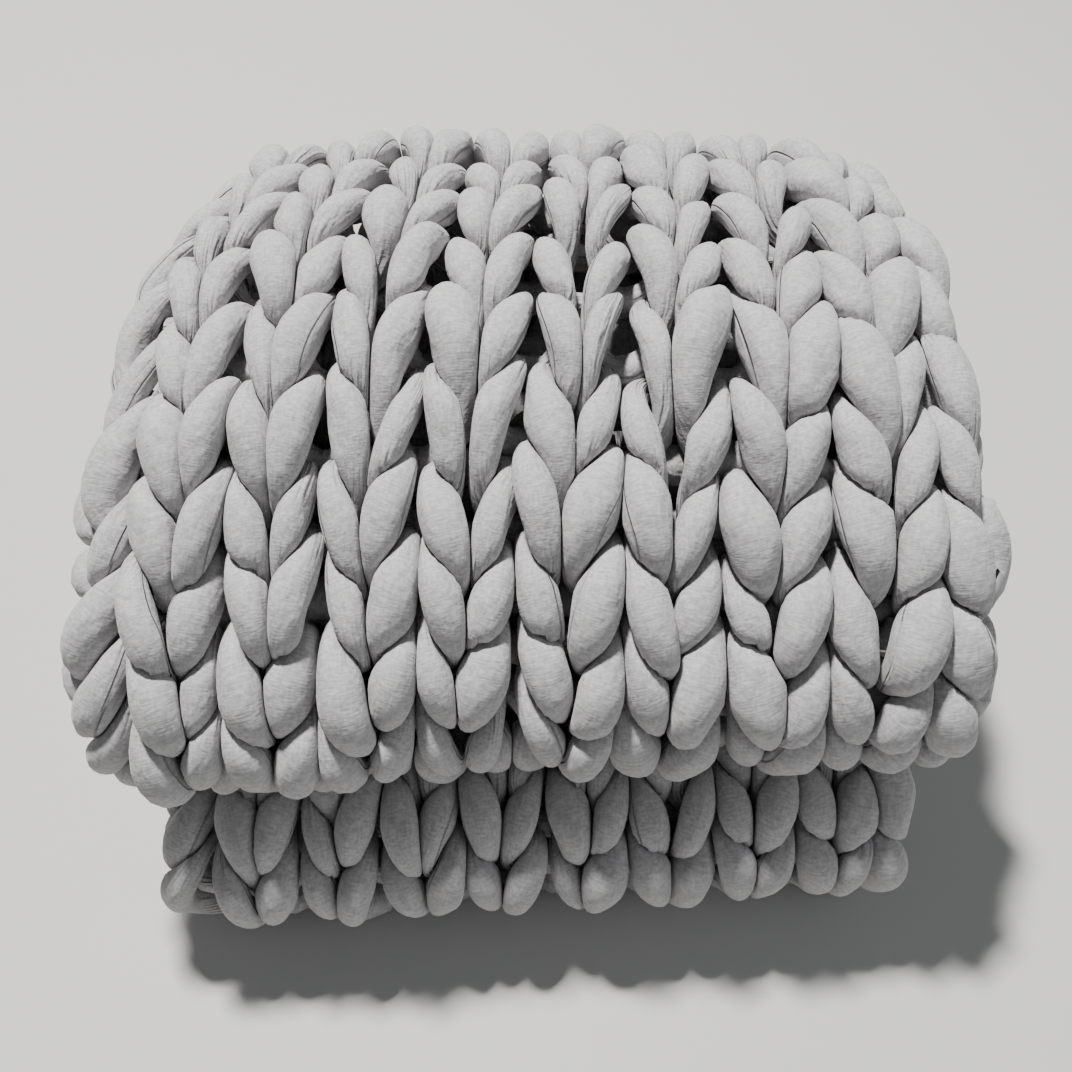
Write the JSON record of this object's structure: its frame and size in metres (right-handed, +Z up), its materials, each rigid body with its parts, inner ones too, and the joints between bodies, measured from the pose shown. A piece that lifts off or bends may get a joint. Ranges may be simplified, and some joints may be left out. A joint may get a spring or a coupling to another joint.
{
  "type": "weighted blanket",
  "caption": "Chunky knitted weighted blanket, folded in half and then in three, lying flat on the floor as a soft pile.",
  "frame": {"origin": "on the floor, under the middle of the pile's bounding box", "axes": "+X to the right across the pile, along a row of stitches; +Y from the front fold to the back; +Z up"},
  "size_m": [0.6374, 0.5876, 0.424],
  "materials": {
    "jersey": "soft matt knitted jersey"
  },
  "bodies": {
    "root": {"blanket": "jersey"}
  },
  "joints": []
}
